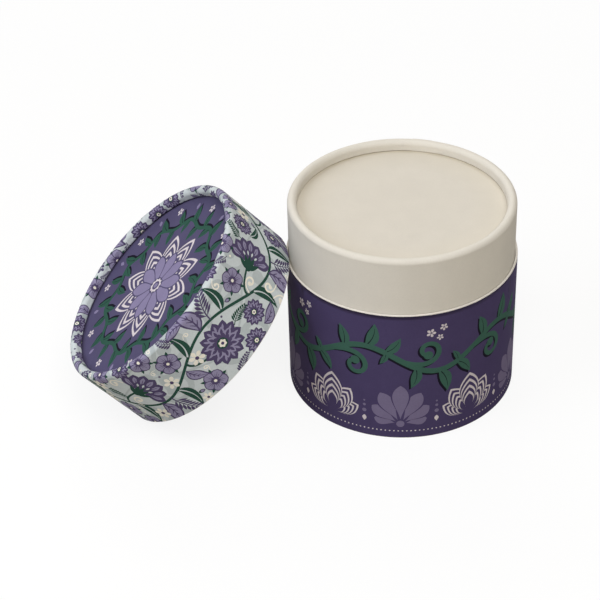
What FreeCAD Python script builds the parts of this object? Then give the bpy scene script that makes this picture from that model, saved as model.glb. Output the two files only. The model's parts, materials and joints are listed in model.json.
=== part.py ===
import FreeCAD, Part
import math
import os
import Sketcher

# A round gift box of wound board covered with paper, made as three cups that share one stack of walls.
# The base stands on the table with its mouth up. The inner cap stands in the base, closed end up, so that
# its upper part shows as a neck. The lid fits over that neck and meets the base's edge when it is on.
# Here the lid is off: its mouth rests on the table at one point and its rim leans on the neck.
# The origin is the centre of the base's foot, on the table, with +Z up.

# Driving sizes in millimetres, and one bearing in degrees
SIZES = {
    # Walls, from the inner cap's bore outwards
    "bore_diameter": 83.0,
    "lining_thickness": 0.1,
    "board_thickness": 0.6,
    "wrap_thickness": 0.15,
    "sliding_clearance": 0.15,
    # How far wraps and linings stop short of a cut edge
    "edge_setback": 0.2,
    # Heights of what shows of each cup
    "base_height": 56.4,
    "neck_height": 23.0,
    "lid_height": 31.3,
    # The rolled rim of the inner cap and the lid, and the end boards
    "rim_width": 3.5,
    "rim_depth": 4.3,
    "end_board_thickness": 1.5,
    "end_paper_thickness": 0.15,
    "foot_recess": 3.0,
    # How the lid leans: how far above the base's edge its rim meets the neck, its gap to the neck there,
    # and the bearing of the lid from the base
    "lean_rise": 1.64,
    "lean_gap": 0.3,
    "lid_bearing": 189.2,
}

# Sizes that follow from the driving ones. The base and the lid share the radii named shell.
FORMULAS = {
    "cap_inner_radius": "=bore_diameter / 2",
    "cap_board_inner_radius": "=cap_inner_radius + lining_thickness",
    "cap_board_outer_radius": "=cap_board_inner_radius + board_thickness",
    "cap_outer_radius": "=cap_board_outer_radius + wrap_thickness",
    "shell_inner_radius": "=cap_outer_radius + sliding_clearance",
    "shell_board_inner_radius": "=shell_inner_radius + lining_thickness",
    "shell_board_outer_radius": "=shell_board_inner_radius + board_thickness",
    "shell_outer_radius": "=shell_board_outer_radius + wrap_thickness",
    "base_wrap_top": "=base_height - edge_setback",
    "bottom_board_underside": "=foot_recess + end_paper_thickness",
    "bottom_board_top": "=bottom_board_underside + end_board_thickness",
    "floor_height": "=bottom_board_top + lining_thickness",
    "cap_height": "=base_height + neck_height - floor_height",
    "lid_tilt": "=asin((base_height + lean_rise) / (2 * shell_board_outer_radius))",
    "lid_mouth_rise": "=shell_board_outer_radius * sin(lid_tilt)",
    "lid_mouth_reach": "=cap_outer_radius + lean_gap + shell_board_outer_radius * cos(lid_tilt)",
    "lid_mouth_x": "=lid_mouth_reach * cos(lid_bearing)",
    "lid_mouth_y": "=lid_mouth_reach * sin(lid_bearing)",
}

# The rolled rim and the end stack of a cup, worked out alike for the inner cap and the lid
RIM_FORMULAS = {
    "{cup}_roll_height": "={cup}_height - rim_width / 2",
    "{cup}_board_leg_outer_radius": "={wall}_outer_radius - rim_width + wrap_thickness + board_thickness",
    "{cup}_board_leg_inner_radius": "={wall}_outer_radius - rim_width + wrap_thickness",
    "{cup}_wrap_leg_radius": "={wall}_outer_radius - rim_width",
    "{cup}_end_face": "={cup}_height - rim_depth",
    "{cup}_end_board_top": "={cup}_end_face - end_paper_thickness",
    "{cup}_end_board_underside": "={cup}_end_board_top - end_board_thickness",
    "{cup}_ceiling": "={cup}_end_board_underside - lining_thickness",
}

# The cups stand at these places
TABLE = "placement(vector(0; 0; 0); rotation(vector(0; 0; 1); 0))"
BASE_FLOOR = "placement(vector(0; 0; Sizes.floor_height); rotation(vector(0; 0; 1); 0))"
LEANT_ON_NECK = (
    "placement(vector(Sizes.lid_mouth_x; Sizes.lid_mouth_y; Sizes.lid_mouth_rise); "
    "rotation(vector(-sin(Sizes.lid_bearing); cos(Sizes.lid_bearing); 0); Sizes.lid_tilt))"
)

# Sketcher's own numbers for the origin, the horizontal axis and the points of an edge
HORIZONTAL_AXIS = -1
ORIGIN = (-1, 1)
START = 1
END = 2
CENTRE = 3
FULL_TURN = 360

doc = FreeCAD.newDocument("gift_tube_box")
sheet = doc.addObject("Spreadsheet::Sheet", "Sizes")
sub_parts = []


def fill_sheet():
    """Write the driving sizes and the formulas into the sheet, one aliased cell each."""
    cells = {alias: str(value) for alias, value in SIZES.items()}
    cells.update(FORMULAS)
    for cup, wall in (("cap", "cap"), ("lid", "shell")):
        for alias, formula in RIM_FORMULAS.items():
            cells[alias.format(cup=cup)] = formula.format(cup=cup, wall=wall)
    for row, (alias, content) in enumerate(cells.items(), start=1):
        sheet.set(f"A{row}", alias)
        sheet.set(f"B{row}", content)
        sheet.setAlias(f"B{row}", alias)
    doc.recompute()


def new_body(label, place):
    """A body for one sub-part, put where its cup stands."""
    body = doc.addObject("PartDesign::Body", label)
    body.setExpression("Placement", place)
    sub_parts.append(body)
    return body


def new_sketch(body, plane_role):
    """An empty sketch on one of the body's own origin planes."""
    plane = next(each for each in body.Origin.OriginFeatures if each.Role == plane_role)
    sketch = body.newObject("Sketcher::SketchObject", f"{body.Name}_sketch")
    sketch.AttachmentSupport = [(plane, "")]
    sketch.MapMode = "FlatFace"
    return sketch


def dimension(sketch, kind, places, alias):
    """A dimension in the sketch that takes its value from the sheet."""
    index = sketch.addConstraint(Sketcher.Constraint(kind, *places, sheet.get(alias)))
    sketch.setExpression(f"Constraints[{index}]", f"Sizes.{alias}")


def pad_circles(label, place, radii, bottom, top):
    """A round plate, or a sleeve if two radii are given. None as its bottom is the cup's cut edge."""
    body = new_body(label, place)
    sketch = new_sketch(body, "XY_Plane")
    for alias in radii:
        circle = Part.Circle(FreeCAD.Vector(), FreeCAD.Vector(0, 0, 1), sheet.get(alias))
        edge = sketch.addGeometry(circle, False)
        sketch.addConstraint(Sketcher.Constraint("Coincident", edge, CENTRE, *ORIGIN))
        dimension(sketch, "Radius", (edge,), alias)
    pad = body.newObject("PartDesign::Pad", f"{label}_pad")
    pad.Profile = sketch
    if bottom:
        sketch.setExpression("AttachmentOffset.Base.z", f"Sizes.{bottom}")
        pad.setExpression("Length", f"Sizes.{top} - Sizes.{bottom}")
    else:
        pad.setExpression("Length", f"Sizes.{top}")


def draw_edge(sketch, here, there, rolled):
    """A straight edge between two corners, or a half circle over the top. Returns it with its two ends."""
    start = FreeCAD.Vector(*here, 0)
    finish = FreeCAD.Vector(*there, 0)
    if not rolled:
        return sketch.addGeometry(Part.LineSegment(start, finish), False), START, END
    centre = (start + finish) / 2
    circle = Part.Circle(centre, FreeCAD.Vector(0, 0, 1), (finish - start).Length / 2)
    edge = sketch.addGeometry(Part.ArcOfCircle(circle, 0, math.pi), False)
    sketch.addConstraint(Sketcher.Constraint("Horizontal", edge, CENTRE, edge, START))
    ends = (START, END) if start.x > finish.x else (END, START)
    return edge, *ends


def revolve_outline(label, place, corners):
    """A ring turned from a closed outline of radius and height. None as a height is the cup's cut edge.

    A corner marked rolled is reached from the one before it by a half circle over the top.
    """
    body = new_body(label, place)
    sketch = new_sketch(body, "XZ_Plane")
    points = [(sheet.get(radius), sheet.get(height) if height else 0) for radius, height, _ in corners]
    edges = []
    for here, there, (_, _, rolled) in zip(points[-1:] + points, points, corners):
        edges.append(draw_edge(sketch, here, there, rolled))
    for (edge, _, edge_end), (following, following_start, _) in zip(edges, edges[1:] + edges[:1]):
        sketch.addConstraint(Sketcher.Constraint("Coincident", edge, edge_end, following, following_start))
    for (edge, _, edge_end), (radius, height, _) in zip(edges, corners):
        dimension(sketch, "DistanceX", (*ORIGIN, edge, edge_end), radius)
        if height:
            dimension(sketch, "DistanceY", (*ORIGIN, edge, edge_end), height)
        else:
            sketch.addConstraint(Sketcher.Constraint("PointOnObject", edge, edge_end, HORIZONTAL_AXIS))
    turn = body.newObject("PartDesign::Revolution", f"{label}_turn")
    turn.Profile = sketch
    turn.ReferenceAxis = (sketch, ["V_Axis"])
    turn.Angle = FULL_TURN


def make_base():
    """The base: a straight wound tube, its wrap and lining, and the bottom board set up inside its foot."""
    inner = "shell_inner_radius"
    board_inner = "shell_board_inner_radius"
    board_outer = "shell_board_outer_radius"
    outer = "shell_outer_radius"
    underside = "bottom_board_underside"
    board_top = "bottom_board_top"
    pad_circles("base_tube", TABLE, (board_outer, board_inner), None, "base_height")
    pad_circles("base_wrap", TABLE, (outer, board_outer), "edge_setback", "base_wrap_top")
    pad_circles("base_lining", TABLE, (board_inner, inner), "edge_setback", "base_wrap_top")
    pad_circles("bottom_paper", TABLE, (inner,), "foot_recess", underside)
    pad_circles("bottom_board", TABLE, (inner,), underside, board_top)
    pad_circles("floor_paper", TABLE, (inner,), board_top, "floor_height")


def make_rolled_cup(cup, wall, name, place):
    """The inner cap or the lid: a tube rolled over at the top and down onto the edge of its end board."""
    inner = f"{wall}_inner_radius"
    board_inner = f"{wall}_board_inner_radius"
    board_outer = f"{wall}_board_outer_radius"
    outer = f"{wall}_outer_radius"
    leg_outer = f"{cup}_board_leg_outer_radius"
    leg_inner = f"{cup}_board_leg_inner_radius"
    wrap_leg = f"{cup}_wrap_leg_radius"
    roll = f"{cup}_roll_height"
    face = f"{cup}_end_face"
    board_top = f"{cup}_end_board_top"
    underside = f"{cup}_end_board_underside"
    ceiling = f"{cup}_ceiling"
    revolve_outline(
        f"{name}_tube",
        place,
        [
            (board_inner, None, False),
            (board_outer, None, False),
            (board_outer, roll, False),
            (leg_inner, roll, True),
            (leg_inner, face, False),
            (leg_outer, face, False),
            (leg_outer, roll, False),
            (board_inner, roll, True),
        ],
    )
    revolve_outline(
        f"{name}_wrap",
        place,
        [
            (board_outer, "edge_setback", False),
            (outer, "edge_setback", False),
            (outer, roll, False),
            (wrap_leg, roll, True),
            (wrap_leg, face, False),
            (leg_inner, face, False),
            (leg_inner, roll, False),
            (board_outer, roll, True),
        ],
    )
    pad_circles(f"{name}_lining", place, (board_inner, inner), "edge_setback", roll)
    pad_circles(f"{name}_top_paper", place, (inner,), board_top, face)
    pad_circles(f"{name}_board", place, (inner,), underside, board_top)
    pad_circles(f"{name}_ceiling_paper", place, (inner,), ceiling, underside)


def check_document():
    """Stop if any object failed, or if a sub-part isn't one sound solid."""
    for each in doc.Objects:
        if "Invalid" in each.State or "Error" in each.State:
            raise RuntimeError(f"{each.Label} failed: {each.State}")
    for body in sub_parts:
        if body.Shape.isNull() or not body.Shape.isValid() or len(body.Shape.Solids) != 1:
            raise RuntimeError(f"{body.Label} isn't one sound solid")


def write_parts():
    """Write each sub-part to its own file."""
    os.makedirs("parts", exist_ok=True)
    for body in sub_parts:
        body.Shape.exportStep(os.path.join("parts", f"{body.Label}.step"))
        print(f"{body.Label}: {body.Shape.Volume:.1f} cubic mm")


fill_sheet()
make_base()
make_rolled_cup("cap", "cap", "inner_cap", BASE_FLOOR)
make_rolled_cup("lid", "shell", "lid", LEANT_ON_NECK)
doc.recompute()
check_document()
write_parts()
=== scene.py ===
import cmath
import json
import math
import random
from collections import namedtuple

import bpy
import numpy as np
from mathutils import Matrix, Vector
from mathutils.geometry import delaunay_2d_cdt


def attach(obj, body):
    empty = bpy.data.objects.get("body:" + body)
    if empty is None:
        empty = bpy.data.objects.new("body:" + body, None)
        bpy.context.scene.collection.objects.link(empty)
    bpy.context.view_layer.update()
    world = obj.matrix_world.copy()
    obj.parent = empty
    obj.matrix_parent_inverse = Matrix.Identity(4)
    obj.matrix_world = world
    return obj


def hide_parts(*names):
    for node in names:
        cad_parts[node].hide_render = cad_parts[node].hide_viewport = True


# A round gift box of wound board and paper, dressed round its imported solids. Each wrap and facing that shows
# becomes one sheet of paper whose print is cut into its mesh, and the solids left showing get their finish.
# The scene is in metres. A flat sheet and what is printed on it are drawn in millimetres, as complex numbers:
# x runs round the cup and y up its wall, or both lie in a facing.

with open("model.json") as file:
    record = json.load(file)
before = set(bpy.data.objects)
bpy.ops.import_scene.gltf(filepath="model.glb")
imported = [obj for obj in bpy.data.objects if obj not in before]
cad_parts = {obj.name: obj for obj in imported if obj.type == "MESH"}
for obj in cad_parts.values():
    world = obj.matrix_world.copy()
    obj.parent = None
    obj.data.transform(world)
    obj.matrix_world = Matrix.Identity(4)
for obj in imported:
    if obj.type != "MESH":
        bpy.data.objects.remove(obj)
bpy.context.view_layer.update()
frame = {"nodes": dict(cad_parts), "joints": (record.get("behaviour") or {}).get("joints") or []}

MILLIMETRE = 0.001

# Camera, fitted to the edges in the photograph
IMAGE_PIXELS = 600
FOCAL_PIXELS = 1873.8
SENSOR_WIDTH = 36.0
CAMERA_DISTANCE = 0.7372
CAMERA_ELEVATION = math.radians(37.884)
CAMERA_YAW = math.radians(-3.813)
CAMERA_PITCH = math.radians(35.810)
CAMERA_ROLL = math.radians(-1.857)

# Light and stage
LAMP_SIZE = 1.2
Lamp = namedtuple("Lamp", "name place power tint")
LAMPS = (
    Lamp("key", Vector((0.24, -0.88, 1.54)), power=22.6, tint=(1.0, 0.98, 0.945)),
    Lamp("window", Vector((-1.38, -0.54, 1.02)), power=14.0, tint=(0.96, 1.0, 1.08)),
    Lamp("back", Vector((-0.35, 1.43, 1.03)), power=9.0, tint=(1.0, 0.97, 0.91)),
)
WHITE = (1, 1, 1, 1)
SKY_STRENGTH = 0.1
SKY_TINT = (1.0, 0.9, 0.72, 1)
FLOOR_SIZE = 8.0
FLOOR_TINT = (0.47, 0.44, 0.39, 1)
FLOOR_GLOW_SHARE = 0.86
FLOOR_FADE_START = 0.22
FLOOR_FADE_END = 0.8

# Sheets of paper, in millimetres
LAP_WIDTH = 7.0
LAP_RAMP = 2.4
LAP_RISE = 0.09
LAP_AIR = 0.01
GRID_STEP = 2.4
BACK_STEP = 3.0
CIRCLE_STEPS = 240
ROLL_STEP = 0.46
ROW_STEP = 1.8
NORMAL_STEP = 0.004

# Rolled rims, in millimetres
CURL_TURN = math.radians(105)
CURL_ROWS = 4
TUBE_ROLL_STEPS = 16
TUBE_CURL_STEPS = 9
SHARP_ANGLE = math.radians(40)
EDGE_REACH = 0.01

# Unevenness of the rims and pleats across the lid's: a wave has its count round the cup, start and strength
RIM_WOBBLE = 0.05
RIM_WAVES = ((3, 0.7, 0.5), (7, 2.1, 0.35), (16, 4.0, 0.25))
PLEAT_DEPTH = 0.1
PLEAT_STEP = 0.55
PLEAT_ONSET = 1.2
PLEAT_MIDDLE_SHARE = 0.7
PLEAT_DEPTH_SHARE = 0.65
PLEAT_DEPTH_WAVES = ((11, 2.0, 0.35),)
PLEAT_SHIFT_WAVES = ((7, 0.0, 1.4), (19, 1.0, 0.9))

# How a sheet's faces are laid out for baking, in millimetres
BAKE_MARGIN = 0.7
BAKE_FOLDS = 3
BAKE_INSET_SHARE = 0.002
BACK_SHARE = 0.15

# Maps of the sheets: flat, and laid out for baking
SHEET_MAP = "SheetMillimetres"
BAKE_MAP = "OFBake"

# Triangulation: Blender's number for triangles out to the hull, and how near is the same point
CONVEX_TRIANGLES = 0
NEARNESS = 1e-4
NEAR_DIGITS = 4
NO_LENGTH = 1e-15

# Colours as 0 to 255
WRAP_WHITE = (221, 216, 206)
# The facing's white is a little darker and warmer than the wrap's: painted shade from the rolled rim over the
# facing. The linings take the same white.
FACING_WHITE = (213, 207, 196)
CORE_WHITE = (220, 216, 210)
BOARD_WHITE = (226, 222, 216)
PLY_GREY = (190, 183, 172)
RUB_GREY = (200, 193, 182)
SEAM_GREY = (168, 160, 146)
# Painted warm shade on the white facing towards the rolled rim that shades it
PAINTED_RIM_SHADE = (202, 190, 158)
# Painted shadow along the back of the white facing's joint under the rim's curl
PAINTED_JOINT_SHADE = (150, 136, 106)
INKS = {
    "mint": (203, 211, 214),
    "sage": (184, 193, 196),
    "plum": (84, 75, 107),
    "lilac": (146, 140, 170),
    "green": (46, 78, 68),
    "cream": (240, 236, 224),
    "purple": (77, 68, 104),
    "violet": (86, 81, 112),
    "lavender": (138, 130, 164),
    "leaf": (64, 100, 88),
    "fern": (52, 88, 76),
    "shade": (28, 26, 38),
    "soft": (122, 113, 144),
    "white": (216, 208, 213),
}

Cup = namedtuple("Cup", "body origin axes")
Ring = namedtuple("Ring", "inner outer bottom top")


# The cups, measured from the frame


def vertices_of(node):
    return np.array([vertex.co for vertex in frame["nodes"][node].data.vertices])


def leaning_cup(body, joint_name, plate):
    """The cup that slides along that joint's axis: its axes, and where its turning axis meets its mouth."""
    joint = next(each for each in frame["joints"] if each["name"] == joint_name)
    upright = Vector(joint["axis"]).normalized()
    across = Vector((0, 0, 1)).cross(upright).normalized()
    axes = np.array([across.cross(upright), across, upright]).T
    own = vertices_of(plate) @ axes
    # Every point of the plate's edge is as far from the turning axis, so a circle through them finds it
    terms = np.column_stack([2 * own[:, :2], np.ones(len(own))])
    centre = np.linalg.lstsq(terms, (own[:, :2] ** 2).sum(axis=1), rcond=None)[0]
    mouth = (vertices_of(f"{body}_tube") @ axes)[:, 2].min()
    return Cup(body, axes @ np.array([*centre[:2], mouth]), axes)


def own_points(node, cup):
    """A node's points along its cup's axes, in millimetres."""
    return (vertices_of(node) - cup.origin) @ cup.axes / MILLIMETRE


def in_scene(cup, across, heights):
    """Points across a cup, as complex numbers, and up it, in millimetres, as places in the scene."""
    own = np.column_stack([across.real, across.imag, heights])
    return cup.origin + MILLIMETRE * own @ cup.axes.T


def measured(node, cup):
    """A turned node's radii and heights along its cup's axis, in millimetres."""
    own = own_points(node, cup)
    radii = np.hypot(own[:, 0], own[:, 1])
    return Ring(radii.min(), radii.max(), own[:, 2].min(), own[:, 2].max())


BASE = Cup("base", np.zeros(3), np.eye(3))
INNER_CAP = Cup("inner_cap", np.zeros(3), np.eye(3))
LID = leaning_cup("lid", "lid_lift", "lid_board")


# Materials


def linear(colour):
    """A colour of 0 to 255 as the linear colour that a shader takes."""
    shares = np.array(colour) / 255
    bent = np.where(shares <= 0.04045, shares / 12.92, ((shares + 0.055) / 1.055) ** 2.4)
    return (*bent, 1.0)


def add(tree, kind, inputs=(), **settings):
    """The outputs of a new node with those inputs, linked or set, and those settings."""
    node = tree.nodes.new(kind)
    for key, value in settings.items():
        setattr(node, key, value)
    for key, value in dict(inputs).items():
        if isinstance(value, bpy.types.NodeSocket):
            tree.links.new(value, node.inputs[key])
        else:
            node.inputs[key].default_value = value
    return node.outputs


def emptied(holder):
    """The node tree of a material or world, with nothing in it."""
    holder.use_nodes = True
    holder.node_tree.nodes.clear()
    return holder.node_tree


def spot_of(tree):
    """The shaded point in its object's axes."""
    return add(tree, "ShaderNodeTexCoord")["Object"]


def flat_spot_of(tree):
    """The shaded point on the flat sheet, in millimetres."""
    return add(tree, "ShaderNodeUVMap", uv_map=SHEET_MAP)[0]


# A socket knows the tree that it is in


def parts_of(spot):
    return add(spot.id_data, "ShaderNodeSeparateXYZ", {0: spot})


def length_of(spot):
    return add(spot.id_data, "ShaderNodeVectorMath", {0: spot}, operation="LENGTH")["Value"]


def stretched(spot, shares):
    return add(spot.id_data, "ShaderNodeVectorMath", {0: spot, 1: shares}, operation="MULTIPLY")[0]


def math_of(operation, *values):
    return add(values[0].id_data, "ShaderNodeMath", dict(enumerate(values)), operation=operation)[0]


def ramp_of(value, low, high, start=0.0, end=1.0):
    """The value carried from one range to another, and held at its ends."""
    inputs = {"Value": value, "From Min": low, "From Max": high, "To Min": start, "To Max": end}
    return add(value.id_data, "ShaderNodeMapRange", inputs)[0]


def noise_of(spot, size, detail=3.0):
    return add(spot.id_data, "ShaderNodeTexNoise", {"Vector": spot, "Scale": 1 / size, "Detail": detail})[0]


def mixed(factor, first, second):
    return add(factor.id_data, "ShaderNodeMix", {0: factor, 6: first, 7: second}, data_type="RGBA")[2]


def bump_of(height, distance, under=(0, 0, 0)):
    inputs = {"Height": height, "Distance": distance, "Strength": 1.0, "Normal": under}
    return add(height.id_data, "ShaderNodeBump", inputs)[0]


class Paper:
    """A paper's material in the making: mottled colour and fibres to begin with, then what else it shows."""

    MOTTLE_SIZE = 0.007
    GRAIN_SIZE = 0.0006
    FIBRE_SIZE = 0.00028
    COCKLE_SIZE = 0.012
    COCKLE_HEIGHT = 0.00004
    ROUGHNESS_SPREAD = 0.08

    def __init__(self, name, colour, mottle_share=0.05, fibre_height=0.000012):
        self.material = bpy.data.materials.new(name)
        self.tree = emptied(self.material)
        self.spot = spot_of(self.tree)
        full = np.array(linear(colour))
        pale = np.minimum(full * (1 + mottle_share), 1)
        deep = full * (1 - mottle_share)
        self.grain = noise_of(self.spot, self.GRAIN_SIZE)
        mottle = noise_of(self.spot, self.MOTTLE_SIZE, detail=5.0)
        tone = math_of("DIVIDE", math_of("ADD", self.grain, mottle), 2)
        self.colour = mixed(ramp_of(tone, low=0.35, high=0.65), tuple(deep), tuple(pale))
        cockle = bump_of(noise_of(self.spot, self.COCKLE_SIZE, detail=2.0), self.COCKLE_HEIGHT)
        self.normal = bump_of(noise_of(self.spot, self.FIBRE_SIZE), fibre_height, cockle)

    def tint(self, factor, colour):
        """Lay another colour over it where the factor says."""
        self.colour = mixed(factor, self.colour, linear(colour))

    def raise_by(self, height, distance):
        self.normal = bump_of(height, distance, self.normal)

    def finish(self, roughness, specular):
        smoothest = roughness - self.ROUGHNESS_SPREAD
        roughest = roughness + self.ROUGHNESS_SPREAD
        inputs = {
            "Base Color": self.colour,
            "Roughness": ramp_of(self.grain, low=0.3, high=0.7, start=smoothest, end=roughest),
            "Specular IOR Level": specular,
            "Normal": self.normal,
        }
        shader = add(self.tree, "ShaderNodeBsdfPrincipled", inputs)[0]
        add(self.tree, "ShaderNodeOutputMaterial", {"Surface": shader})
        return self.material


def wear_edges(paper, edges, reach, strength):
    """Rub the print off in specks along the cut edges at those heights of the sheet."""
    flat = flat_spot_of(paper.tree)
    height = parts_of(flat)[1]
    specks = noise_of(flat, size=0.9, detail=4.0)
    for edge in edges:
        away = math_of("ABSOLUTE", math_of("SUBTRACT", height, edge))
        nearness = ramp_of(away, low=0, high=reach, start=1.0, end=0)
        rubbed = math_of("MULTIPLY", math_of("POWER", nearness, 2), specks)
        paper.tint(ramp_of(rubbed, low=0.34, high=0.56, end=strength), CORE_WHITE)


def pleat_roll(paper, start, end):
    """Fine creases across the rolled rim, where the paper is gathered in."""
    crease_shares = (1.0, 0.16, 1.0)
    flat = flat_spot_of(paper.tree)
    creases = noise_of(stretched(flat, crease_shares), size=0.8, detail=2.0)
    on_roll = ramp_of(parts_of(flat)[1], start, end)
    paper.raise_by(math_of("MULTIPLY", creases, on_roll), distance=0.00009)


def rubbed(paper):
    """A white paper's material, finished with a few faint rubs."""
    rubs = noise_of(paper.spot, size=0.011, detail=6.0)
    paper.tint(ramp_of(rubs, low=0.63, high=0.78, end=0.16), RUB_GREY)
    return paper.finish(roughness=0.7, specular=0.3)


def ink_material(name, sheet):
    """Ink on coated paper, rubbed along the sheet's cut edges."""
    paper = Paper(f"ink_{name}_on_{sheet.name}", INKS[name], mottle_share=0.06, fibre_height=0.000006)
    if sheet.cut_edges:
        wear_edges(paper, sheet.cut_edges, reach=0.75, strength=0.75)
    if sheet.roll_heights:
        pleat_roll(paper, *sheet.roll_heights)
    return paper.finish(roughness=0.6, specular=0.01)


def white_material(sheet):
    """Uncoated white paper on a rolled cup."""
    paper = Paper(f"white_paper_on_{sheet.name}", WRAP_WHITE, mottle_share=0.025)
    pleat_roll(paper, *sheet.roll_heights)
    return rubbed(paper)


def facing_material(sheet, joint_radius):
    """White facing paper, with painted warm shade towards its edge under the rim and a painted shadow line
    along the back of its joint.
    """
    rim_shade_width = 14.0
    joint_shade_width = 1.9
    full_joint_shade_width = 0.3
    joint_shade_start_share = 0.1
    full_joint_shade_share = 0.75
    joint_shade_strength = 0.42
    paper = Paper(f"white_paper_on_{sheet.name}", FACING_WHITE, mottle_share=0.025)
    flat = flat_spot_of(paper.tree)
    radius = length_of(flat)
    # Painted shade: the facing darkens and warms towards the rim, as if shaded by it
    paper.tint(ramp_of(radius, joint_radius - rim_shade_width, joint_radius, end=0.14), PAINTED_RIM_SHADE)
    # Painted shadow: a brown line along the back of the joint, unevenly strong
    near = ramp_of(radius, joint_radius - joint_shade_width, joint_radius - full_joint_shade_width)
    back = parts_of(flat)[1]
    there = ramp_of(back, joint_shade_start_share * joint_radius, full_joint_shade_share * joint_radius)
    uneven = ramp_of(noise_of(flat, size=5.0), low=0.3, high=0.6, start=0.7)
    joint_shade = math_of("MULTIPLY", math_of("MULTIPLY", near, there), uneven)
    paper.tint(math_of("MULTIPLY", joint_shade, joint_shade_strength), PAINTED_JOINT_SHADE)
    return rubbed(paper)


def core_material():
    """The white core that shows at a sheet's cut edges and on its glued side."""
    return Paper("paper_core", CORE_WHITE, mottle_share=0.04).finish(roughness=0.8, specular=0.25)


def own_spot(paper, cup):
    """The shaded point in the cup's own axes."""
    inputs = {"Vector": paper.spot, "Location": cup.origin, "Rotation": Matrix(cup.axes).to_euler()}
    return add(paper.tree, "ShaderNodeMapping", inputs, vector_type="TEXTURE")[0]


def board_material(cup):
    """Grey wound board, with its plies showing as fine rings on a cut edge."""
    ply_thickness = 0.0002
    flat_shares = (1, 1, 0)
    paper = Paper(f"wound_board_of_{cup.body}", BOARD_WHITE, mottle_share=0.07, fibre_height=0.00002)
    radius = length_of(stretched(own_spot(paper, cup), flat_shares))
    wave = math_of("SINE", math_of("MULTIPLY", radius, math.tau / ply_thickness))
    paper.tint(ramp_of(wave, low=0.2, high=0.9, end=0.3), PLY_GREY)
    return paper.finish(roughness=0.85, specular=0.2)


def lining_material(cup):
    """White lining paper, wound on a slant with a fine seam between its turns."""
    seam_pitch = 0.062
    seam_share = 0.006
    seam_depth = 0.00008
    seam_strength = 0.45
    paper = Paper(f"lining_paper_of_{cup.body}", FACING_WHITE, mottle_share=0.03)
    x, y, z = parts_of(own_spot(paper, cup))
    turned = math_of("DIVIDE", math_of("ARCTAN2", y, x), math.tau)
    climbed = math_of("MULTIPLY_ADD", z, 1 / seam_pitch, turned)
    off_seam = math_of("ABSOLUTE", math_of("SUBTRACT", math_of("FRACT", climbed), 0.5))
    seam = ramp_of(off_seam, low=0, high=seam_share, start=1.0, end=0)
    paper.tint(math_of("MULTIPLY", seam, seam_strength), SEAM_GREY)
    paper.raise_by(seam, -seam_depth)
    return paper.finish(roughness=0.75, specular=0.28)


# Drawn shapes, as closed outlines that run anticlockwise


def petal(length, width, belly_share=0.55, roundness=1.0, steps=7, start=0):
    """A petal or leaf along +x from its start, widest at its belly. A roundness under 1 blunts its ends."""
    along = np.linspace(0, 1, steps + 1)
    swell = np.sin(np.pi * along ** (math.log(0.5) / math.log(belly_share))) ** roundness
    edge = length * along + 0.5j * width * swell
    return start + np.concatenate([edge.conj(), edge[-2:0:-1]])


def lobed(radius, lobes, depth_share, steps):
    """A round outline with that many lobes."""
    angle = np.linspace(0, math.tau, steps, endpoint=False)
    return radius * (1 + depth_share * np.cos(lobes * angle)) * np.exp(1j * angle)


def disc(radius, steps=12):
    return lobed(radius, lobes=0, depth_share=0, steps=steps)


def curl(turn, steps):
    """A path of length 1 that starts along +x and winds up tighter and tighter."""
    share = (np.arange(steps) + 0.5) / steps
    return np.concatenate([[0], np.cumsum(np.exp(1j * turn * share**2) / steps)])


def stroke(path, width, end_width=None):
    """A drawn line along a path, of one width or from one to another."""
    way = np.gradient(path)
    half = 0.5 * np.linspace(width, end_width or width, len(path)) * way / abs(way)
    return np.concatenate([path - 1j * half, (path + 1j * half)[::-1]])


def vein(start, end, width, tip_width=0.02, steps=6):
    """A straight drawn line along +x."""
    return stroke(np.linspace(start, end, steps).astype(complex), width, tip_width)


# Motifs are lists of an ink and a shape, the later ones on top


def put(motif, at=0, turn=0.0, size=1.0):
    """A motif moved, turned and scaled."""
    swing = size * cmath.exp(1j * turn)
    return [(ink, at + swing * shape) for ink, shape in motif]


def flipped(motif):
    """A motif mirrored in the x axis."""
    return [(ink, shape.conj()[::-1]) for ink, shape in motif]


def swept(motif, turn):
    """A motif along +x, swept round as it goes out."""
    return [(ink, shape * np.exp(1j * turn * shape.real)) for ink, shape in motif]


def centred(motif):
    """A motif of length 1 along +x as one of radius 1 round the origin."""
    return [(ink, 2 * (shape - 0.5)) for ink, shape in motif]


def whorl(motif, count, radius=0.0, turn=0.0):
    """A motif repeated round a centre, each copy pointing outwards."""
    copies = []
    for each in range(count):
        angle = turn + each * math.tau / count
        copies += put(motif, cmath.rect(radius, angle), angle)
    return copies


def recoloured(motif, ink):
    """The outlines of a motif in one ink."""
    return [(ink, shape) for _, shape in motif]


def shadowed(motif, shift):
    """A motif with its printed shadow under it."""
    return [("shade", shape + shift) for _, shape in motif] + motif


# Motifs of the lid's wrap, each of radius or length 1


def dahlia():
    outer = [
        ("plum", petal(length=1, width=0.46, belly_share=0.66)),
        ("lilac", petal(start=0.52, length=0.32, width=0.1)),
    ]
    middle = [
        ("lilac", petal(length=0.72, width=0.3, belly_share=0.66)),
        ("plum", petal(start=0.28, length=0.36, width=0.13)),
    ]
    inner = [("plum", petal(length=0.45, width=0.22, belly_share=0.62))]
    eye = [
        ("green", disc(radius=0.25)),
        ("cream", lobed(radius=0.17, lobes=6, depth_share=0.12, steps=24)),
        ("plum", disc(radius=0.07)),
    ]
    return whorl(outer, 13) + whorl(middle, 11, turn=0.2) + whorl(inner, 11) + eye


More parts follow.
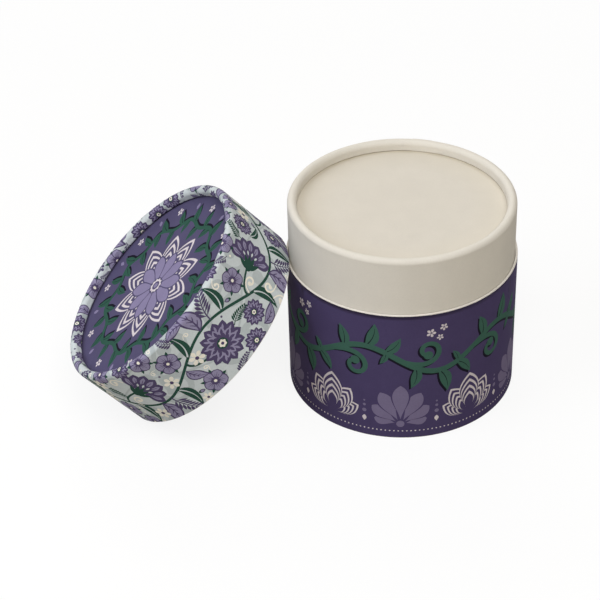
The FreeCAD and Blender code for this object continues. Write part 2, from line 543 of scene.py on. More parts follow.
def carnation():
    """A fan of petals seen from the side, on a green cup."""
    blade = [
        ("plum", petal(length=1.25, width=0.56, belly_share=0.7, roundness=0.8, steps=9)),
        ("lilac", petal(start=0.42, length=0.66, width=0.24, belly_share=0.62)),
        ("plum", vein(start=0.5, end=0.92, width=0.05)),
    ]
    front = [
        ("plum", petal(length=0.74, width=0.36, belly_share=0.66)),
        ("mint", petal(start=0.36, length=0.26, width=0.1)),
    ]
    sepal = [("green", petal(length=0.72, width=0.24, belly_share=0.4))]
    parts = []
    for motif, foot, angles in (
        (blade, -0.42, (-1.25, 1.25, -0.83, 0.83, -0.42, 0.42, 0)),
        (front, -0.42, (-0.75, 0.75, -0.25, 0.25)),
        (sepal, -0.74, (-0.96, 0.96, -0.4, 0.4, 0)),
    ):
        for angle in angles:
            parts += put(motif, foot, angle)
    return parts + put([("green", disc(radius=0.17))], at=-0.66)


def rosette():
    side_vein = put([("plum", vein(start=0.3, end=0.62, width=0.04))], turn=0.26)
    blade = [
        ("plum", petal(length=1, width=0.92, belly_share=0.64, roundness=0.62, steps=10)),
        ("lilac", petal(start=0.06, length=0.87, width=0.75, belly_share=0.64, roundness=0.62, steps=10)),
        ("plum", vein(start=0.3, end=0.76, width=0.05)),
        *side_vein,
        *flipped(side_vein),
    ]
    sepal = [("green", petal(length=1.16, width=0.34))]
    eye = [("plum", lobed(radius=0.34, lobes=8, depth_share=0.14, steps=40)), ("cream", disc(radius=0.13))]
    return whorl(sepal, 5, turn=math.pi / 5) + whorl(blade, 5) + eye


def daisy():
    blade = [("cream", petal(length=1, width=0.52, belly_share=0.66, roundness=0.7))]
    return whorl(blade, 6) + [("plum", disc(radius=0.24))]


def bud():
    sepal = [("green", petal(length=0.95, width=0.42))]
    flower = [
        ("plum", petal(start=-0.8, length=1.8, width=1.1, belly_share=0.42, roundness=0.8)),
        ("lilac", petal(start=-0.5, length=1.2, width=0.6, belly_share=0.42, roundness=0.8)),
    ]
    return flower + put(sepal, at=-1, turn=0.45) + put(sepal, at=-1, turn=-0.45)


def strap_leaf():
    blade = petal(length=1, width=0.34, belly_share=0.42, steps=10)
    rib = vein(start=0.06, end=0.84, width=0.05, tip_width=0.012, steps=9)
    return swept([("green", blade), ("mint", rib)], turn=0.75)


def veined_leaf():
    blade = [
        ("plum", petal(length=1.02, width=0.56, belly_share=0.46, steps=10)),
        ("lilac", petal(start=0.04, length=0.9, width=0.44, belly_share=0.46, steps=10)),
        ("plum", vein(start=0, end=0.9, width=0.055, steps=9)),
    ]
    for start, length in ((0.18, 0.2), (0.36, 0.17), (0.54, 0.13)):
        side_vein = put([("plum", vein(start=0, end=length, width=0.04, steps=4))], at=start, turn=0.7)
        blade += side_vein + flipped(side_vein)
    return swept(blade, turn=0.65)


def frond(ink):
    root_length = 0.38
    shortening = 0.26
    parts = [(ink, vein(start=0, end=1, width=0.045, steps=10))]
    for at in np.linspace(0.14, 0.92, num=8):
        leaflet = [(ink, petal(length=root_length - shortening * at, width=0.085, belly_share=0.6, steps=5))]
        parts += put(leaflet, at, turn=0.85) + put(leaflet, at, turn=-0.85)
    return swept(parts, turn=-0.5)


def tendril(steps=20):
    path = curl(turn=6.0, steps=steps)
    middle = complex(path.real.max() + path.real.min(), path.imag.max() + path.imag.min()) / 2
    knob = path[-1] + disc(radius=0.07)
    drawn = [("cream", stroke(path, width=0.035, end_width=0.085)), ("cream", knob)]
    return [(ink, (shape - middle) / abs(path - middle).max()) for ink, shape in drawn]


def dot(ink):
    return [(ink, disc(radius=1, steps=10))]


# Motifs of the purple papers, each 1 high or long


def fanned(motif, angle):
    """A motif on either side of upright."""
    return put(motif, turn=math.pi / 2 + angle) + put(motif, turn=math.pi / 2 - angle)


def palmette():
    """A fan of solid petals standing up from the origin, set apart by the ground's colour."""
    start = 0.12
    apart = 0.035
    parts = []
    for angle, length, width in ((1.36, 0.56, 0.24), (0.94, 0.74, 0.29), (0.49, 0.9, 0.32), (0, 1, 0.34)):
        shape = petal(length - start, width, belly_share=0.66, roundness=0.75, steps=16)
        wider = petal(length - start + apart, width + 2 * apart, belly_share=0.66, roundness=0.75, steps=16)
        blade = put([("purple", wider), ("soft", shape)], at=start)
        parts += fanned(blade, angle)
    return parts + [("purple", disc(radius=0.12, steps=24)), ("soft", disc(radius=0.085, steps=24))]


def lined_petal(length, width, ground="purple"):
    """A pointed petal in nested white lines."""
    parts = []
    for rank, share in enumerate((1, 0.93, 0.84, 0.77, 0.68, 0.61, 0.52, 0.45)):
        shape = petal(length * share, width * share, belly_share=0.6, roundness=0.85, steps=16)
        parts.append((ground if rank % 2 else "white", shape))
    return parts


def lotus():
    """A flower of lined petals standing up from the origin."""
    parts = []
    for angle, length, width in ((1.05, 0.72, 0.36), (0.55, 0.86, 0.42), (0, 1, 0.5)):
        parts += fanned(lined_petal(length, width), angle)
    return parts


def star_flower(ground="purple"):
    blade = [("white", petal(length=1, width=0.56, belly_share=0.64, roundness=0.75))]
    return whorl(blade, 5) + [(ground, disc(radius=0.2))]


def garland_leaf(ink):
    blade = petal(length=1, width=0.44, belly_share=0.45, steps=14)
    rib = vein(start=0.12, end=0.82, width=0.035, tip_width=0.012, steps=8)
    return swept([(ink, blade), ("shade", rib)], turn=0.5)


def garland_curl():
    """A branch that rolls up into a spiral, as a line of length 1."""
    path = curl(turn=6.6, steps=44)
    drawn = stroke(path, width=0.075, end_width=0.055)
    return [("leaf", drawn), ("leaf", path[-1] + disc(radius=0.06, steps=18))]


# The prints


class Print:
    """Inked shapes on a sheet that goes round a cup, so that what leaves one end comes in at the other."""

    def __init__(self, sheet):
        self.around = sheet.around
        self.width = sheet.width
        self.height = sheet.height
        self.shapes = []
        self.places = np.zeros(0, complex)
        self.rooms = np.zeros(0)

    def add(self, motif, at=0, turn=0.0, size=1.0, room=None):
        """Print a motif. It keeps others off its room, a radius, or off its outlines where none is given."""
        placed = put(motif, at, turn, size)
        for ink, shape in placed:
            for shift in (-self.around, 0, self.around):
                moved = shape + shift
                if moved.real.max() > 0 and moved.real.min() < self.width:
                    self.shapes.append((ink, moved))
        places = np.concatenate([shape for _, shape in placed]) if room is None else np.array([at])
        self.places = np.append(self.places, places)
        self.rooms = np.append(self.rooms, np.full(len(places), room or 0.0))

    def is_free(self, at, radius):
        apart = self.places - at
        beside = (apart.real + self.around / 2) % self.around - self.around / 2
        return (np.hypot(beside, apart.imag) - self.rooms).min() > radius

    def scatter(self, motifs, size, gap, tries, dice, low=0.0):
        """Print motifs in turn at free places found by chance above that height."""
        placed = 0
        for _ in range(tries):
            at = complex(dice.uniform(0, self.around), dice.uniform(low, self.height))
            if self.is_free(at, size + gap):
                self.add(motifs[placed % len(motifs)], at, dice.uniform(0, math.tau), size, room=size)
                placed += 1


def bow(start, end, by):
    """A path from one point to another that sets out towards a third."""
    share = np.linspace(0, 1, num=12)
    return start * (1 - share) ** 2 + 2 * by * share * (1 - share) + end * share**2


def branches(stem_at, spacing, bend, leaves):
    """Motif, place, turn and length of what grows at one bend of a stem, above and below it in turn."""
    side = -1 if bend % 2 else 1
    for spacing_share, turn, length, motif in leaves:
        root = stem_at((bend + 0.5 + spacing_share) * spacing)
        yield flipped(motif) if bend % 2 else motif, root, side * turn, length


def lid_wrap_print(sheet):
    """Flowers on a winding stem, with leaves and small blossoms filling the ground."""
    drawn = Print(sheet)
    dice = random.Random(11)
    crests = 8
    spacing = sheet.around / crests
    middle_share = 0.42
    middle = middle_share * sheet.height
    swing = 6.6
    flower_drop = 3.4
    flower_turn = 0.3
    stalk_start_share = 0.42
    leaves = (
        (-0.36, 0.75, 12.5, strap_leaf()),
        (-0.04, 1.15, 13.0, veined_leaf()),
        (0.26, 0.7, 12.5, strap_leaf()),
        (0.12, 1.5, 13.5, frond("plum")),
    )

    def stem_at(place):
        return place + 1j * (middle + swing * np.sin(math.pi * place / spacing))

    stem = stem_at(np.linspace(0, sheet.around, num=200))
    drawn.add([("green", stroke(stem, width=1.1))])
    for each in range(crests):
        is_low = each % 2
        crest = (each + 0.5) * spacing
        flower = crest + 1j * (middle + (flower_drop if is_low else -flower_drop))
        root = stem_at(crest - stalk_start_share * spacing)
        stalk = bow(root, flower, complex(root.real, flower.imag))
        drawn.add([("green", stroke(stalk, width=1.0, end_width=0.8))])
        if is_low:
            drawn.add(carnation(), flower, turn=0.15, size=8.2, room=7.8)
        else:
            drawn.add(dahlia(), flower, turn=flower_turn * each, size=8.8, room=8.2)
        for leaf in branches(stem_at, spacing, each, leaves):
            drawn.add(*leaf)
    under = Print(sheet)
    ghost_stem = stem.conj() + 2j * middle
    under.add([("sage", stroke(ghost_stem, width=0.8))])
    ghosts = [recoloured(centred(each), "sage") for each in (strap_leaf()[:1], tendril(), veined_leaf()[:1])]
    under.scatter(ghosts, size=5.2, gap=-2.0, tries=2500, dice=dice)
    sprays = [centred(each) for each in (veined_leaf(), frond("green"), strap_leaf(), frond("plum"))]
    swirls = [tendril(), flipped(tendril())]
    small_swirls = [tendril(steps=11), flipped(tendril(steps=11))]
    rim_motifs = [sprays[0], rosette(), sprays[3]]
    for motifs, size, gap, tries, low in (
        ([rosette(), dahlia()], 4.9, -0.1, 3000, 0),
        (sprays, 4.3, -1.5, 4000, 0),
        (rim_motifs, 3.3, -0.9, 3000, sheet.straight),
        (rim_motifs, 2.4, -0.8, 3000, sheet.straight),
        ([swirls[0], daisy(), swirls[1]], 3.2, -1.2, 4000, 0),
        ([daisy(), *small_swirls], 2.3, -0.3, 4000, 0),
        ([bud(), *small_swirls], 1.5, -0.1, 4000, 0),
        ([dot("plum"), dot("cream")], 0.45, 0.75, 4000, 0),
    ):
        drawn.scatter(motifs, size, gap, tries, dice, low)
    return under.shapes + drawn.shapes


SHADOW_SHIFT = -0.75 - 0.65j


def base_wrap_print(sheet):
    """A leafy scroll over a row of palmettes and lined flowers, with stars above and a row of dots below."""
    drawn = Print(sheet)
    units = 10
    pitch = sheet.around / units
    scroll_height = 36.0
    swing = 5.6
    stem_width = 2.3
    foot_height = 6.6
    dot_height = 3.2
    dots = 17 * units
    stars = ((-2.6, 47.8, 1.9), (2.2, 49.6, 1.6), (0.8, 45.4, 1.4))

    def stem_at(place):
        return place + 1j * (scroll_height + swing * np.sin(math.pi * place / pitch))

    leaf = garland_leaf("leaf")
    leaves = (
        (-0.46, 0.3, 30.0, flipped(garland_curl())),
        (-0.3, 1.25, 9.5, leaf),
        (0.02, 0.75, 11.0, leaf),
        (0.28, 0.36, 9.0, leaf),
        (0.3, -1.5, 5.5, flipped(leaf)),
    )
    scroll = [("leaf", stroke(stem_at(np.linspace(0, sheet.around, num=300)), stem_width))]
    for each in range(units):
        for branch in branches(stem_at, pitch, each, leaves):
            scroll += put(*branch)
    row = []
    for each in range(units):
        foot = each * pitch + 1j * foot_height
        between = foot + pitch / 2
        row += put(palmette(), foot, size=18.0) if each % 2 else put(lotus(), foot, size=18.2)
        row += put([("white", petal(length=2.8, width=1.7))], between, turn=math.pi / 2)
        for rise, radius in ((5.0, 0.85), (7.6, 0.6), (9.6, 0.4)):
            row += put(dot("soft"), between + 1j * rise, size=radius)
        for shift, rise, size in stars if each % 2 else ():
            row += put(star_flower(), between + shift + 1j * (rise - foot_height), turn=shift, size=size)
    drawn.add(row)
    drawn.add(shadowed(scroll, SHADOW_SHIFT))
    for each in range(dots):
        drawn.add(dot("white"), (each + 0.5) * sheet.around / dots + 1j * dot_height, size=0.3)
    return drawn.shapes


def lid_facing_print():
    """A flower of solid and lined petals inside a wreath, with stars round it."""
    rays = 10
    ray_turn = math.tau / rays
    wreath_radius = 28.4
    swing = 1.5
    lean = 0.7
    overlap_share = 0.02
    solid = [
        ("violet", petal(length=15.2, width=6.6, belly_share=0.66, roundness=0.75, steps=18)),
        ("lavender", petal(start=0.8, length=13.6, width=5.4, belly_share=0.66, roundness=0.75, steps=18)),
    ]
    eye = [
        ("violet", disc(radius=3.6, steps=40)),
        ("white", lobed(radius=2.9, lobes=10, depth_share=0.1, steps=60)),
        ("violet", disc(radius=1.9, steps=30)),
        ("lavender", disc(radius=1.1, steps=24)),
    ]
    lined = lined_petal(length=23.0, width=9.2, ground="violet")
    shapes = whorl(lined, rays, turn=ray_turn / 2) + whorl(solid, rays) + eye

    def stem_at(angle):
        return (wreath_radius + swing * np.sin(rays * angle)) * np.exp(1j * angle)

    leaf = garland_leaf("fern")
    wreath = []
    for each in range(rays):
        stretch = np.linspace(each - overlap_share, each + 1 + overlap_share, num=24) * ray_turn
        wreath.append(("fern", stroke(stem_at(stretch), width=1.7)))
    for each in range(rays):
        for ray_share, side, length in ((0.0, 1, 8.4), (0.24, -1, 7.0), (0.5, 1, 7.4), (0.74, -1, 7.4)):
            angle = (each + ray_share) * ray_turn
            motif = flipped(leaf) if side > 0 else leaf
            wreath += put(motif, stem_at(angle), angle + math.pi / 2 - side * lean, length)
    shapes += shadowed(wreath, SHADOW_SHIFT)
    bud_shape = [("lavender", petal(length=3.0, width=1.7, roundness=0.85, steps=10))]
    shapes += whorl(bud_shape, rays, radius=34.4, turn=ray_turn / 4)
    return shapes + whorl(put(star_flower("violet"), size=1.8), rays, radius=35.8, turn=3 * ray_turn / 4)


# Sheets: how each one lies on its cup


def waves(angle, terms):
    """The sum of waves round a cup."""
    return sum(strength * np.sin(count * angle + start) for count, start, strength in terms)


class Wrap:
    """A paper wound once round a cup and lapped: up its wall and, if it has a rolled rim, over it and down.

    The rim's inner leg curls back under itself, with a gap over the cup's facing that settles in front.
    """

    def __init__(self, cup, seam_angle, curl_radius=None, curl_gap=0.0, settle=0.0, pleats=0):
        self.name = f"{cup.body}_wrap"
        self.cup = cup
        ring = measured(self.name, cup)
        self.outer = ring.outer
        self.bottom = ring.bottom
        self.seam_angle = seam_angle
        self.roll = (ring.outer - ring.inner) / 2 if curl_radius else 0.0
        self.thickness = ring.outer - measured(f"{cup.body}_tube", cup).outer
        self.straight = ring.top - self.roll - ring.bottom
        self.over = self.straight + math.pi * self.roll
        self.curl_start = self.height = self.over
        if self.roll:
            facing = measured(f"{cup.body}_top_paper", cup)
            self.curl_start += ring.top - self.roll - facing.top - curl_gap - curl_radius
            self.height = self.curl_start + CURL_TURN * curl_radius
        self.around = math.tau * ring.outer
        self.width = self.around + LAP_WIDTH
        self.folds = BAKE_FOLDS
        self.pleats = pleats
        self.curl_radius = curl_radius or 1
        self.settle = settle
        self.cut_edges = (0.0,) if self.roll else (0.0, self.height)
        self.roll_heights = (self.straight - self.roll, self.straight + self.roll) if self.roll else None

    def row(self, height, pleated=True):
        """Points along the sheet at that height, close enough to go round the cup and through its pleats."""
        fine = pleated and self.pleats and self.straight < height < self.curl_start
        step = PLEAT_STEP if fine else ROW_STEP
        return np.linspace(0, self.width, math.ceil(self.width / step) + 1) + 1j * height

    def outline(self):
        return np.concatenate([self.row(0), self.row(self.height)[::-1]])

    def guides(self, pleated=True):
        """Lines that the mesh follows: up the lap's ramp and the bake's folds, and along the rolled rim."""
        fold_width = self.width / self.folds
        upright = [fold_width * each for each in range(1, self.folds)]
        upright += list(np.linspace(self.around - LAP_RAMP, self.around, num=5))
        guides = [np.array([at, at + 1j * self.height]) for at in upright]
        if self.roll:
            roll_rows = math.ceil((self.over - self.straight) / ROLL_STEP)
            roll = np.linspace(self.straight, self.over, roll_rows, endpoint=False)
            under = np.linspace(self.curl_start, self.height, CURL_ROWS, endpoint=False)
            guides += [self.row(height, pleated) for height in (*roll, *under)]
            guides.append(self.row(self.over, pleated))
        return guides

    def spots(self, step):
        across = np.arange(step / 2, self.width, step)
        up = np.arange(step / 2, self.height, step)
        return (across[:, None] + 1j * up[None, :]).ravel()

    def lean(self, length):
        """How far round the roll the sheet has turned at that length, as an angle."""
        return np.clip(length - self.straight, 0, math.pi * self.roll) / max(self.roll, NEARNESS)

    def profile(self, length, lift):
        """Radius and height at that length up the sheet, lifted off its face by that much."""
        lean = self.lean(length)
        turn = np.maximum(length - self.curl_start, 0) / self.curl_radius
        radius = self.outer - self.roll * (1 - np.cos(lean)) + self.curl_radius * (1 - np.cos(turn))
        height = self.bottom + np.minimum(length, self.straight) + self.roll * np.sin(lean)
        height = height - np.clip(length - self.over, 0, self.curl_start - self.over)
        height = height - self.curl_radius * np.sin(turn)
        return radius + lift * np.cos(lean + turn), height + lift * np.sin(lean + turn)

    def place(self, flat, under=False):
        """Where points of the flat sheet lie, on its face or its glued side, in metres."""
        angle = self.seam_angle + flat.real / self.outer
        lean = self.lean(flat.imag)
        ramp = np.clip((flat.real - self.around + LAP_RAMP) / LAP_RAMP, 0, 1)
        ramp = ramp * ramp * (3 - 2 * ramp)
        lift = (LAP_AIR + self.thickness) * ramp - self.thickness if under else LAP_RISE * ramp
        if self.roll:
            lift = lift + RIM_WOBBLE * waves(angle, RIM_WAVES) * np.sin(lean) ** 2
        if self.pleats and not under:
            gathered = self.pleats * angle / 2 + waves(angle, PLEAT_SHIFT_WAVES)
            depth = PLEAT_DEPTH * (PLEAT_DEPTH_SHARE + waves(angle, PLEAT_DEPTH_WAVES))
            reach = np.clip(lean / PLEAT_ONSET, 0, 1)
            reach = reach * np.clip((self.curl_start - flat.imag) / ROLL_STEP, 0, 1)
            lift = lift + depth * (abs(np.sin(gathered)) - PLEAT_MIDDLE_SHARE) * reach
        radius, height = self.profile(flat.imag, lift)
        if self.roll:
            down_leg = np.clip((flat.imag - self.over) / (self.curl_start - self.over), 0, 1)
            height = height - self.settle * down_leg * np.clip(1 - np.sin(angle), 0, 1)
        return in_scene(self.cup, radius * np.exp(1j * angle), height)


class Facing:
    """A round paper on an end board."""

    def __init__(self, cup, node, faces_down=False):
        ring = measured(node, cup)
        self.name = node
        self.cup = cup
        self.radius = ring.outer
        self.faces_down = faces_down
        self.levels = (ring.bottom, ring.top) if faces_down else (ring.top, ring.bottom)
        self.width = self.height = 2 * self.radius
        self.folds = 1
        self.cut_edges = ()
        self.roll_heights = None

    def outline(self):
        return disc(self.radius, steps=CIRCLE_STEPS)

    def guides(self, pleated=True):
        return []

    def spots(self, step):
        across = np.arange(-self.radius, self.radius, step)
        spots = (across[:, None] + 1j * across[None, :]).ravel()
        return spots[abs(spots) < self.radius - step / 2]

    def place(self, flat, under=False):
        heights = np.full(len(flat), self.levels[1 if under else 0])
        return in_scene(self.cup, -flat.conj() if self.faces_down else flat, heights)


# Sheets as meshes


def triangulate(outline, shapes, guides, spots):
    """A flat sheet cut along its shapes and guides: points, triangles and the top shape of each, or -1."""
    corners = []
    faces = []
    edges = []
    for shape in [outline, *shapes]:
        faces.append(list(range(len(corners), len(corners) + len(shape))))
        corners.extend(shape)
    for guide in guides:
        edges += [(len(corners) + each, len(corners) + each + 1) for each in range(len(guide) - 1)]
        corners.extend(guide)
    corners.extend(spots)
    flat = [Vector((corner.real, corner.imag)) for corner in corners]
    made, _, triangles, _, _, owners = delaunay_2d_cdt(flat, edges, faces, CONVEX_TRIANGLES, NEARNESS, True)
    inside = [0 in owner for owner in owners]
    kept = np.array(triangles)[inside]
    tops = np.array([max(owner, default=0) - 1 for owner in owners])[inside]
    used, kept = np.unique(kept, return_inverse=True)
    points = np.array([complex(*made[each]) for each in used])
    return points, kept.reshape(-1, 3), tops


def rim_loop(triangles):
    """The corners along the outside of a triangulated sheet, in order."""
    edges = np.concatenate([triangles[:, [0, 1]], triangles[:, [1, 2]], triangles[:, [2, 0]]]).tolist()
    known = {tuple(edge) for edge in edges}
    following = {start: end for start, end in edges if (end, start) not in known}
    loop = [next(iter(following))]
    while following[loop[-1]] != loop[0]:
        loop.append(following[loop[-1]])
    return np.array(loop)


def face_normals(sheet, flat):
    """Which way the sheet's face looks at those points."""
    along = sheet.place(flat + NORMAL_STEP) - sheet.place(flat - NORMAL_STEP)
    up = sheet.place(flat + 1j * NORMAL_STEP) - sheet.place(flat - 1j * NORMAL_STEP)
    normals = np.cross(along, up)
    return normals / np.linalg.norm(normals, axis=1, keepdims=True)


def bake_layout(sheet, front, sides, back):
    """Places in the bake's square for the corners of front triangles, side walls and back triangles."""
    fold_width = sheet.width / sheet.folds
    fold_height = sheet.height + 3 * BAKE_MARGIN

    def folded(corners):
        row = np.clip(corners.real.mean(axis=1) // fold_width, 0, sheet.folds - 1)
        return corners + (row * (1j * fold_height - fold_width))[:, None]

    edge = sides[:, 0] - sides[:, 1]
    outward = BAKE_MARGIN * (-1j) * edge / abs(edge)
    walls = sides + np.column_stack([0 * outward, 0 * outward, outward, outward])
    shrunk = BACK_SHARE * (back - back.imag.min() * 1j)
    shrunk = shrunk + 1j * (front.imag.min() + sheet.folds * fold_height)
    flat = np.concatenate([each.ravel() for each in (folded(front), folded(walls), shrunk)])
    low = complex(flat.real.min(), flat.imag.min())
    span = max(flat.real.max() - low.real, flat.imag.max() - low.imag)
    return BAKE_INSET_SHARE * (1 + 1j) + (1 - 2 * BAKE_INSET_SHARE) * (flat - low) / span


def added(data):
    """A new object in the scene."""
    thing = bpy.data.objects.new(data.name, data)
    bpy.context.scene.collection.objects.link(thing)
    return thing


def make_sheet(sheet, shapes, materials):
    """One closed sheet of paper with its inked shapes, in place of the node of its name.

    Its materials are named by their inks, the first one its ground.
    """
    points, triangles, tops = triangulate(
        sheet.outline(), [shape for _, shape in shapes], sheet.guides(), sheet.spots(GRID_STEP)
    )
    loop = rim_loop(triangles)
    back_guides = sheet.guides(pleated=False)
    back_points, back_triangles, _ = triangulate(points[loop], (), back_guides, sheet.spots(BACK_STEP))
    found = {point: each for each, point in enumerate(np.round(back_points, NEAR_DIGITS).tolist())}
    back_loop = np.array([found[point] for point in np.round(points[loop], NEAR_DIGITS).tolist()])

    count = len(points)
    walls = np.column_stack([np.roll(loop, -1), loop, count + back_loop, count + np.roll(back_loop, -1)])
    back = count + back_triangles[:, ::-1]
    vertices = np.concatenate([sheet.place(points), sheet.place(back_points, under=True)])
    flat = np.concatenate([points, back_points])

    mesh = bpy.data.meshes.new(f"{sheet.name}_sheet")
    mesh.from_pydata(vertices.tolist(), [], triangles.tolist() + walls.tolist() + back.tolist())
    for material in (*materials.values(), CORE):
        mesh.materials.append(material)
    inks = list(materials)
    shape_slots = np.array([0] + [inks.index(ink) for ink, _ in shapes])
    front_slots = shape_slots[tops + 1]
    core_slots = np.full(len(walls) + len(back), len(inks))
    mesh.polygons.foreach_set("material_index", np.concatenate([front_slots, core_slots]).astype(np.int32))

    corners = [flat[faces] for faces in (triangles, walls, back)]
    places = np.concatenate([each.ravel() for each in corners])
    baked = bake_layout(sheet, *corners)
    for name, layout in ((SHEET_MAP, places), (BAKE_MAP, baked)):
        layer = mesh.uv_layers.new(name=name)
        layer.uv.foreach_set("vector", np.column_stack([layout.real, layout.imag]).ravel().astype(np.float32))

    facing = np.concatenate([face_normals(sheet, points), -face_normals(sheet, back_points)])
    first, second, third, fourth = vertices[walls.T]
    sides = np.cross(third - first, fourth - second)
    sides = sides / np.maximum(np.linalg.norm(sides, axis=1, keepdims=True), NO_LENGTH)
    normals = [facing[triangles.ravel()], np.repeat(sides, 4, axis=0), facing[back.ravel()]]
    mesh.shade_smooth()
    mesh.normals_split_custom_set(np.concatenate(normals).tolist())

    piece = added(mesh)
    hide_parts(sheet.name)
    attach(piece, sheet.cup.body)


def print_sheet(sheet, shapes, ground):
    inks = dict.fromkeys([ground, *(ink for ink, _ in shapes)])
    make_sheet(sheet, shapes, {ink: ink_material(ink, sheet) for ink in inks})


CORE = core_material()
base_wrap = Wrap(BASE, seam_angle=math.radians(90))
lid_wrap = Wrap(LID, seam_angle=math.radians(-90), curl_radius=0.9, curl_gap=0.45, settle=0.1, pleats=116)
cap_wrap = Wrap(INNER_CAP, seam_angle=math.radians(75), curl_radius=0.45, curl_gap=0.06, settle=0.045)
cap_facing = Facing(INNER_CAP, "inner_cap_top_paper")
cap_joint_radius = cap_wrap.outer - 2 * cap_wrap.roll
print_sheet(base_wrap, base_wrap_print(base_wrap), "purple")
print_sheet(lid_wrap, lid_wrap_print(lid_wrap), "mint")
make_sheet(cap_wrap, [], {"white": white_material(cap_wrap)})
print_sheet(Facing(LID, "lid_top_paper"), lid_facing_print(), "violet")
make_sheet(cap_facing, [], {"white": facing_material(cap_facing, cap_joint_radius)})
print_sheet(Facing(BASE, "bottom_paper", faces_down=True), [], "purple")


# Wound board under the rolled rims

BOARDS = {cup.body: board_material(cup) for cup in (BASE, INNER_CAP, LID)}


def wall_thickness(node, cup):
    """How thick a turned node is at its cut edge, in millimetres."""
    own = own_points(node, cup)
    at_edge = own[:, 2] < own[:, 2].min() + EDGE_REACH
    radii = np.hypot(own[at_edge, 0], own[at_edge, 1])
    return radii.max() - radii.min()


def make_rolled_tube(wrap, node):
    """A tube of board that rolls over with its wrap, in place of the node of its name.

    It curls under with the wrap too, unless the curl is too tight for it.
    """
    cup = wrap.cup
    foot = measured(node, cup).bottom - wrap.bottom
    depth = wrap.thickness + wall_thickness(node, cup)
    roll = np.linspace(wrap.straight, wrap.over, TUBE_ROLL_STEPS)
    curl_steps = TUBE_CURL_STEPS if wrap.curl_radius > depth else 1
    curl_end = np.linspace(wrap.curl_start, wrap.height, curl_steps)
    lengths = np.concatenate([[foot], roll, curl_end])
    face = np.column_stack(wrap.profile(lengths, -wrap.thickness))
    back = np.column_stack(wrap.profile(lengths, -depth))
    section = np.concatenate([face, back[::-1]])
    across = np.outer(disc(radius=1, steps=CIRCLE_STEPS), section[:, 0]).ravel()
    vertices = in_scene(cup, across, np.tile(section[:, 1], CIRCLE_STEPS))
    here = np.arange(len(vertices)).reshape(CIRCLE_STEPS, len(section))
    ahead = np.roll(here, -1, axis=0)
    faces = np.stack([here, ahead, np.roll(ahead, -1, axis=1), np.roll(here, -1, axis=1)], axis=-1)
    mesh = bpy.data.meshes.new(f"{node}_board")
    mesh.from_pydata(vertices.tolist(), [], faces.reshape(-1, 4).tolist())
    mesh.shade_smooth()
    mesh.set_sharp_from_angle(angle=SHARP_ANGLE)
    mesh.materials.append(BOARDS[cup.body])
    piece = added(mesh)
    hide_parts(node)
    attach(piece, cup.body)


make_rolled_tube(cap_wrap, "inner_cap_tube")
make_rolled_tube(lid_wrap, "lid_tube")


# Finishes of the solids that stay


def finish_solids(cup, boards, linings):
    """Board and lining paper on the solids of one cup."""
    for material, nodes in ((BOARDS[cup.body], boards), (lining_material(cup), linings)):
        for node in nodes:
            slots = frame["nodes"][node].data.materials
            slots.clear()
            slots.append(material)


finish_solids(BASE, ["base_tube", "bottom_board"], ["base_lining", "floor_paper"])
finish_solids(INNER_CAP, ["inner_cap_board"], ["inner_cap_lining", "inner_cap_ceiling_paper"])
finish_solids(LID, ["lid_board"], ["lid_lining", "lid_ceiling_paper"])


# Stage, light and camera


def seen_directly(tree):
    """1 for rays that show the background itself: the camera's, mirrored or seen through."""
    rays = add(tree, "ShaderNodeLightPath")
    mirrored = math_of("MAXIMUM", rays["Is Glossy Ray"], rays["Is Transmission Ray"])
    return math_of("MAXIMUM", rays["Is Camera Ray"], mirrored)


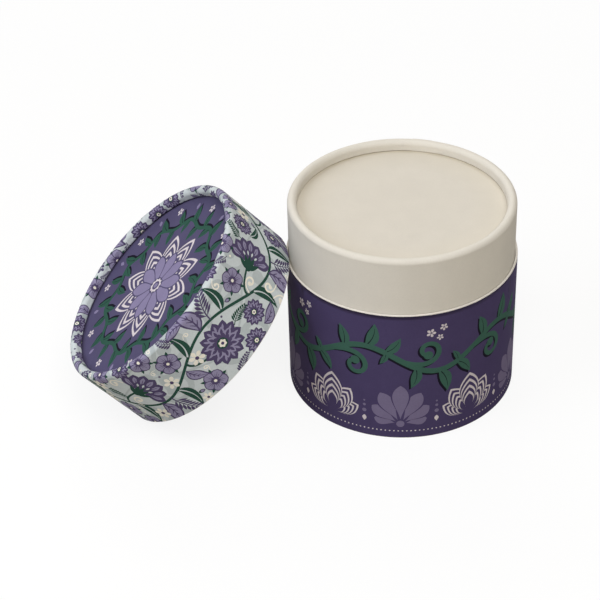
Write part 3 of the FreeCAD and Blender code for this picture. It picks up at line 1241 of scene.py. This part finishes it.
def make_floor():
    """A pale floor that shows the part's shadow and runs out to white."""
    half = FLOOR_SIZE / 2
    corners = [(-half, -half, 0), (half, -half, 0), (half, half, 0), (-half, half, 0)]
    mesh = bpy.data.meshes.new("floor")
    mesh.from_pydata(corners, [], [range(len(corners))])
    floor = added(mesh)
    material = bpy.data.materials.new("floor")
    tree = emptied(material)
    matt = add(tree, "ShaderNodeBsdfDiffuse", {"Color": FLOOR_TINT})[0]
    pale = add(tree, "ShaderNodeBsdfDiffuse", {"Color": WHITE})[0]
    glow = add(tree, "ShaderNodeEmission", {"Color": WHITE})[0]
    away = length_of(spot_of(tree))
    share = ramp_of(away, FLOOR_FADE_START, FLOOR_FADE_END, start=FLOOR_GLOW_SHARE)
    shown = add(tree, "ShaderNodeMixShader", {0: share, 1: pale, 2: glow})[0]
    surface = add(tree, "ShaderNodeMixShader", {0: seen_directly(tree), 1: matt, 2: shown})[0]
    add(tree, "ShaderNodeOutputMaterial", {"Surface": surface})
    mesh.materials.append(material)


def make_world():
    world = bpy.data.worlds.new("studio")
    bpy.context.scene.world = world
    tree = emptied(world)
    soft = add(tree, "ShaderNodeBackground", {"Color": SKY_TINT, "Strength": SKY_STRENGTH})[0]
    white = add(tree, "ShaderNodeBackground", {"Color": WHITE})[0]
    surface = add(tree, "ShaderNodeMixShader", {0: seen_directly(tree), 1: soft, 2: white})[0]
    add(tree, "ShaderNodeOutputWorld", {"Surface": surface})


def make_lamps():
    for lamp in LAMPS:
        light = bpy.data.lights.new(lamp.name, "AREA")
        light.size = LAMP_SIZE
        light.energy = lamp.power
        light.color = lamp.tint
        holder = added(light)
        holder.location = lamp.place
        holder.rotation_euler = (-lamp.place).to_track_quat("-Z", "Y").to_euler()


def make_camera():
    lens = bpy.data.cameras.new("camera")
    lens.sensor_width = SENSOR_WIDTH
    lens.lens = SENSOR_WIDTH * FOCAL_PIXELS / IMAGE_PIXELS
    camera = added(lens)
    place = CAMERA_DISTANCE * Vector((0, -math.cos(CAMERA_ELEVATION), math.sin(CAMERA_ELEVATION)))
    stand = Matrix.Translation(place)
    for angle, axis in ((-CAMERA_YAW, "Z"), (math.pi / 2 - CAMERA_PITCH, "X"), (CAMERA_ROLL, "Z")):
        stand = stand @ Matrix.Rotation(angle, 4, axis)
    camera.matrix_world = stand
    bpy.context.scene.camera = camera


make_floor()
make_world()
make_lamps()
make_camera()
bpy.context.scene.view_settings.view_transform = "Standard"
